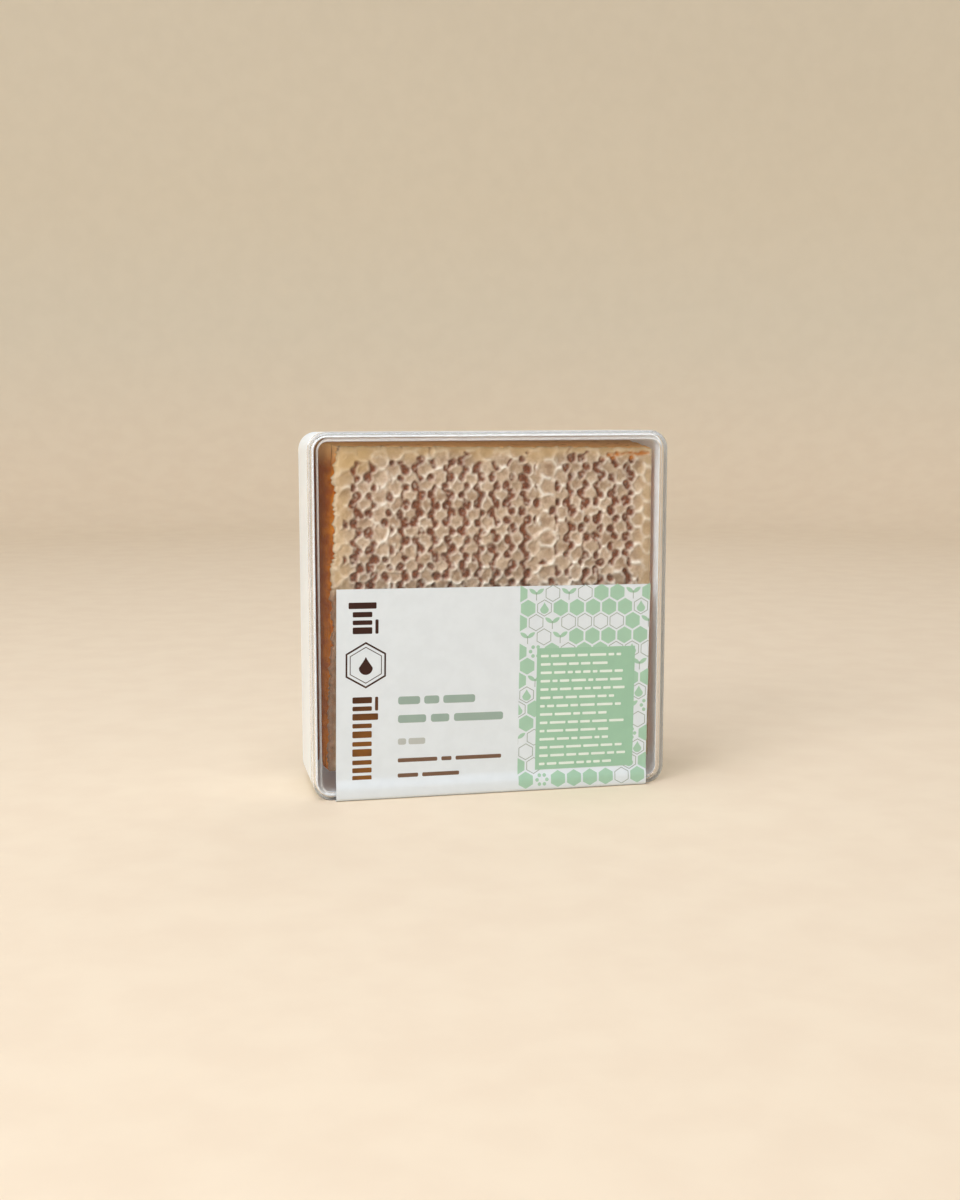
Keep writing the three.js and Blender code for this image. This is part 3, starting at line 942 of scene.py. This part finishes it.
path = label_path()[::-1]
bm = bmesh.new()
bmesh.ops.create_grid(bm, x_segments=LABEL_COLUMNS, y_segments=len(path) - 1, size=0.5)
for vert in bm.verts:
    across = vert.co.x + 0.5
    station = round((vert.co.y + 0.5) * (len(path) - 1))
    y, z = path[station]
    x, z = askew(LABEL_LEFT + (LABEL_RIGHT - LABEL_LEFT) * across, z)
    vert.co = Vector((x, y, z)) * MM
bm.normal_update()
bmesh.ops.solidify(bm, geom=bm.faces[:], thickness=PAPER * MM)
make_piece("label_strip", bm, label_paper, ["label"])

# %% [markdown]
# The print is a plain design of its own in the same kinds of colour and scale: upright brown bars
# with a hexagon and drop between them, bars for the lines of words, and a green column of hexagons
# with leaves and drops round a plain field. Each shape is a small flat face from a circle or grid
# operator, collected by ink, then laid on the label's surface and given the thickness of a film.

# %% Print helpers
INK_FILM = 0.03
INK_LIFT = 0.015


def label_surface(z):
    """The y of the label's outer side at a height on its front, in millimetres."""
    share = min(max((RIM_CLIMB_FROM - (z - base_z)) / RIM_CLIMB, 0), 1)
    y = panel_y + (rim_y - panel_y) * share * share * (3 - 2 * share)
    into_fold = max(FRONT_FOLD - (z - under_z), 0)
    return y + FRONT_FOLD - math.sqrt(max(FRONT_FOLD ** 2 - into_fold ** 2, 0))


def place_shape(bm, made, x, z, turn=0.0, width=1.0, height=1.0):
    """Sizes and turns new points, then moves them to x, z on the flat label."""
    move = (
        Matrix.Translation((x, base_z + z, 0))
        @ Matrix.Rotation(math.radians(turn), 4, "Z")
        @ Matrix.Diagonal((width, height, 1, 1))
    )
    bmesh.ops.transform(bm, matrix=move, verts=made)


def add_bar(bm, x, z, width, height, rounding=0.0):
    """A bar whose lower left corner is at x, z."""
    made = bmesh.ops.create_grid(bm, x_segments=1, y_segments=1, size=0.5)["verts"]
    place_shape(bm, made, x + width / 2, z + height / 2, 0, width, height)
    if rounding:
        bmesh.ops.bevel(
            bm, geom=made, offset=rounding, offset_type="OFFSET", segments=3, profile=0.5,
            affect="VERTICES", material=-1,
        )


def add_round(bm, x, z, radius, sides=16, turn=0.0):
    made = bmesh.ops.create_circle(bm, cap_ends=True, segments=sides, radius=radius)["verts"]
    place_shape(bm, made, x, z, turn)
    return made


def add_outline(bm, x, z, radius, line, sides=6):
    """A filled shape whose inset middle is taken out."""
    made = set(add_round(bm, x, z, radius, sides))
    face = next(face for face in bm.faces if set(face.verts) == made)
    bmesh.ops.inset_individual(bm, faces=[face], thickness=line, use_even_offset=True)
    bmesh.ops.delete(bm, geom=[face], context="FACES_ONLY")


def add_leaf(bm, x, z, length, width, turn):
    """A circle drawn out to a pointed oval."""
    made = bmesh.ops.create_circle(bm, cap_ends=True, segments=16, radius=0.5)["verts"]
    for vert in made:
        vert.co.y *= 1 - 0.35 * (2 * abs(vert.co.x)) ** 2
    place_shape(bm, made, x, z, turn, length, width)


def add_drop(bm, x, z, size):
    """A circle whose upper half is drawn up and in to a point."""
    made = bmesh.ops.create_circle(bm, cap_ends=True, segments=20, radius=size)["verts"]
    for vert in made:
        up = max(vert.co.y / size, 0)
        vert.co.x *= 1 - 0.85 * up ** 1.3
        vert.co.y += size * 0.6 * up ** 2
    place_shape(bm, made, x, z)


def cut(bm, point, normal, clear_outer=False):
    """Cuts the flat shapes along a line, given by a point on it and the direction across it."""
    parts = bm.verts[:] + bm.edges[:] + bm.faces[:]
    bmesh.ops.bisect_plane(
        bm, geom=parts, plane_co=(*point, 0), plane_no=(*normal, 0), clear_outer=clear_outer
    )


def lay_print(name, bm, ink, lift=INK_LIFT):
    """Cuts flat shapes where the label bends, sets them on its surface and makes them a piece."""
    for height in np.linspace(0.8, RIM_CLIMB_FROM, 9):
        cut(bm, (0, base_z + height), (0, 1))
    for vert in bm.verts:
        x, z = askew(vert.co.x, vert.co.y)
        vert.co = Vector((x, label_surface(z) - lift, z)) * MM
    bm.normal_update()
    bmesh.ops.solidify(bm, geom=bm.faces[:], thickness=INK_FILM * MM)
    make_piece(name, bm, ink)


print("a film of ink is", INK_FILM, "mm thick and stands", INK_LIFT, "mm off the paper")

# %% [markdown]
# The upright lines are stamped in foil and the words are printed in muted greens, greys and
# browns. Letters aren't copied: each word is a bar with rounded ends, as wide as a word of that
# size, so the label keeps its rhythm. A foil bar is its lower left corner, its width and height.

# %% Brown foil and lines of words
EMBLEM_X, EMBLEM_Z = -37.6, 38.6
DROP_BELOW_MIDDLE = 0.8
WORDS_LEFT = -28.2
FOIL_BARS = (
    (-42.6, 54.8, 8.0, 1.8), (-41.4, 52.4, 5.6, 1.5), (-41.4, 50.2, 5.6, 1.3),
    (-41.4, 47.6, 5.6, 1.9), (-34.9, 47.6, 0.9, 4.1), (-41.4, 27.6, 5.6, 1.8),
    (-41.4, 25.4, 5.6, 1.3), (-34.9, 25.4, 0.9, 4.0), (-41.4, 22.7, 7.4, 1.9),
    (-41.4, 20.4, 5.6, 1.3), (-41.4, 17.6, 5.6, 1.9), (-41.4, 15.2, 5.6, 1.3),
    (-41.4, 12.3, 5.6, 2.1), (-41.4, 9.9, 5.6, 1.3), (-41.4, 7.6, 5.6, 1.4), (-41.4, 4.9, 5.6, 1.9),
)


def words(name, ink, lines):
    """Lines of bars in one ink, each line given as its place, bar height, lengths and gap."""
    bm = bmesh.new()
    for z, height, lengths, gap in lines:
        x = WORDS_LEFT
        for length in lengths:
            add_bar(bm, x, z, length, height, height * 0.3)
            x += length + gap
    lay_print(name, bm, ink)


bm = bmesh.new()
for x, z, width, height in FOIL_BARS:
    add_bar(bm, x, z, width, height, 0.3)
add_outline(bm, EMBLEM_X, EMBLEM_Z, 6.7, 0.5)
add_outline(bm, EMBLEM_X, EMBLEM_Z, 5.3, 0.22)
add_drop(bm, EMBLEM_X, EMBLEM_Z - DROP_BELOW_MIDDLE, 2.0)
lay_print("foil_print", bm, foil)

words("title_print", title_ink, [
    (26.9, 2.3, (6.4, 4.4, 9.4), 1.2), (21.5, 2.3, (8.2, 5.4, 14.6), 1.4),
])
words("weight_print", weight_ink, [(15.2, 1.8, (2.4, 4.9), 0.7)])
words("origin_print", brown_ink, [
    (10.1, 1.15, (11.6, 3.0, 13.6), 1.2), (5.7, 1.15, (6.0, 10.9), 1.2),
])

# %% [markdown]
# The green side of the label repeats small motifs on a lattice: full and outlined hexagons, sprigs
# of leaves, drops and rings of dots. A seeded draw picks one for each place, so the pattern is
# lively and yet the same in each run. It is trimmed to a column, and a green field lies on it.

# %% Column of hexagons
COLUMN = (7.4, 46.9, 0.6, 61.0)
FIELD = (12.7, 42.6, 5.9, 42.1)
HEX_STEP = 4.9
HEX_RADIUS = 2.5
HEX_LINE = 0.2
FIELD_LIFT = 0.012


def inside(box, x, z, margin):
    left, right, low, high = box
    return left + margin < x < right - margin and low + margin < z < high - margin


def add_motif(choice, x, z):
    """The motif for a number between 0 and 1, in the ink that fills and the ink that draws."""
    if choice < 0.42:
        add_round(filled, x, z, HEX_RADIUS, 6)
    elif choice < 0.74:
        add_outline(lined, x, z, HEX_RADIUS, HEX_LINE)
    elif choice < 0.87:
        for turn in (35, 145):
            side = math.cos(math.radians(turn))
            add_leaf(filled, x + side * 1.3, z + 0.6, 2.7, 1.2, turn)
        add_bar(lined, x - 0.1, z - 2.0, 0.2, 2.4)
    elif choice < 0.94:
        add_drop(filled, x, z - 0.4, 1.3)
        add_outline(lined, x, z, HEX_RADIUS, HEX_LINE)
    else:
        for turn in range(0, 360, 60):
            angle = math.radians(turn)
            add_round(filled, x + 1.5 * math.cos(angle), z + 1.5 * math.sin(angle), 0.55, 12)


pattern = np.random.default_rng(12)
filled, lined = bmesh.new(), bmesh.new()
for row in range(14):
    for column in range(10):
        x = COLUMN[0] + 2.4 + (column - 0.5 * (row % 2)) * HEX_STEP
        z = 3.0 + row * HEX_STEP * math.sqrt(0.75)
        choice = pattern.uniform()
        if not inside(FIELD, x, z, 1.2):
            add_motif(choice, x, z)
left, right, low, high = COLUMN
for shapes in (filled, lined):
    cut(shapes, (left, 0), (-1, 0), clear_outer=True)
    cut(shapes, (right, 0), (1, 0), clear_outer=True)
    cut(shapes, (0, base_z + low), (0, -1), clear_outer=True)
    cut(shapes, (0, base_z + high), (0, 1), clear_outer=True)
lay_print("green_print", filled, green_ink)
lay_print("line_print", lined, line_ink)

bm = bmesh.new()
add_bar(bm, FIELD[0], FIELD[2], FIELD[1] - FIELD[0], FIELD[3] - FIELD[2])
lay_print("panel_print", bm, panel_ink, INK_LIFT + FIELD_LIFT)

# %% [markdown]
# The small pale print on the field reads as broken lines from here, so each line is a row of short
# bars of random length with even gaps, ragged at its right end.

# %% Pale lines on the green field
LINES = 14
LINES_LIFT = 0.024
LINE_HEIGHT, LINE_ROUNDING = 0.75, 0.2
WORD_LENGTHS = (1.4, 5.0)
WORD_GAP = 0.7
SHORTEST_WORD = 1.2
MOST_SHORT = 7.0

bm = bmesh.new()
for line in range(LINES):
    z = FIELD[3] - 2.7 - line * (FIELD[3] - FIELD[2] - 4.0) / (LINES - 1)
    x = FIELD[0] + 1.2
    end = FIELD[1] - 1.4 - pattern.uniform(0, MOST_SHORT)
    while x < end - SHORTEST_WORD:
        length = min(pattern.uniform(*WORD_LENGTHS), end - x)
        add_bar(bm, x, z, length, LINE_HEIGHT, LINE_ROUNDING)
        x += length + WORD_GAP
lay_print("pale_print", bm, pale_ink, INK_LIFT + LINES_LIFT)

# %% [markdown]
# The set is a plain cove of cream studio paper: a pale floor that turns up into a low wall all
# round, so every side of the pack has the same calm background. One side view of floor and wall is
# drawn as a chain of edges, and the spin operator turns it round the pack.

# %% Floor and backdrop
FLOOR_RADIUS = 0.85
SWEEP_RADIUS = 0.3
SWEEP_STEPS = 16
WALL_HEIGHT = 0.95
SPIN_STEPS = 64
WALL_COLOUR_FROM, WALL_COLOUR_TO = 0.01, 0.2

cove_paper, tree, shader = start_material("cove paper", Roughness=0.75, IOR=1.4)
tone = ramp(tree, object_noise(tree, 60, 4), 0.3, 0.7)
floor_paper = mix_colour(tree, tone, srgb(232, 214, 189), srgb(235, 218, 193))
wall_paper = mix_colour(tree, tone, srgb(222, 211, 189), srgb(224, 213, 191))
rise = ramp(tree, object_place(tree, "Z"), WALL_COLOUR_FROM, WALL_COLOUR_TO)
paint(tree, shader, rise, floor_paper, wall_paper)

side = [(reach, 0.0) for reach in (0.0, 0.2, 0.4, FLOOR_RADIUS)]
for step in range(1, SWEEP_STEPS + 1):
    angle = math.pi / 2 * step / SWEEP_STEPS
    side.append((
        FLOOR_RADIUS + SWEEP_RADIUS * math.sin(angle), SWEEP_RADIUS * (1 - math.cos(angle))
    ))
side.append((FLOOR_RADIUS + SWEEP_RADIUS, WALL_HEIGHT))
bm = bmesh.new()
chain = [bm.verts.new((reach, 0, z)) for reach, z in side]
edges = [bm.edges.new(pair) for pair in zip(chain, chain[1:])]
bmesh.ops.spin(
    bm, geom=chain + edges, cent=(0, 0, 0), axis=(0, 0, 1), angle=2 * math.pi,
    steps=SPIN_STEPS, use_merge=True,
)
bmesh.ops.remove_doubles(bm, verts=bm.verts[:], dist=1e-5)
bm.normal_update()
if min(face.normal.z for face in bm.faces) < -0.5:
    bmesh.ops.reverse_faces(bm, faces=bm.faces[:])
cove = make_object("cove", bm, cove_paper)

# %% [markdown]
# The light is wide and soft, from above and the left, and large area lamps give that. One hangs
# overhead, one at the front left lights the tray's side, a weak one keeps the back readable, and
# one lights the backdrop. They are a little blue, because white plastic would look yellow beside
# the cream paper. A dim world fills the shadows.

# %% Lights
LAMP_TINT = (0.96, 1.0, 1.09)
WORLD_COLOUR = (0.97, 0.99, 1.02, 1)
WORLD_STRENGTH = 0.24
PACK_MIDDLE = (0, 0, 0.05)


def softbox(name, place, aim, size, power):
    """A rectangular lamp at a place, turned towards aim. Places are in metres, power in watts."""
    lamp = bpy.data.lights.new(name, "AREA")
    lamp.shape = "RECTANGLE"
    lamp.size, lamp.size_y = size
    lamp.energy = power
    lamp.color = LAMP_TINT
    light = bpy.data.objects.new(name, lamp)
    light.location = place
    light.rotation_mode = "QUATERNION"
    light.rotation_quaternion = (Vector(aim) - Vector(place)).to_track_quat("-Z", "Y")
    scene.collection.objects.link(light)
    print("lamp", name, "has", power, "W")


softbox("overhead", (-0.25, -0.3, 1.15), PACK_MIDDLE, (1.0, 0.8), 8.2)
softbox("front left", (-0.72, -0.64, 0.6), PACK_MIDDLE, (0.5, 0.5), 4.7)
softbox("rear fill", (0.4, 0.6, 0.8), PACK_MIDDLE, (0.6, 0.6), 0.9)
softbox("backdrop glow", (0, 0.25, 1.3), (0, 0.95, 0.45), (1.6, 0.5), 1.3)

world = bpy.data.worlds.new("studio")
world.use_nodes = True
background = world.node_tree.nodes["Background"]
background.inputs["Color"].default_value = WORLD_COLOUR
background.inputs["Strength"].default_value = WORLD_STRENGTH
scene.world = world
scene.view_settings.view_transform = "Standard"
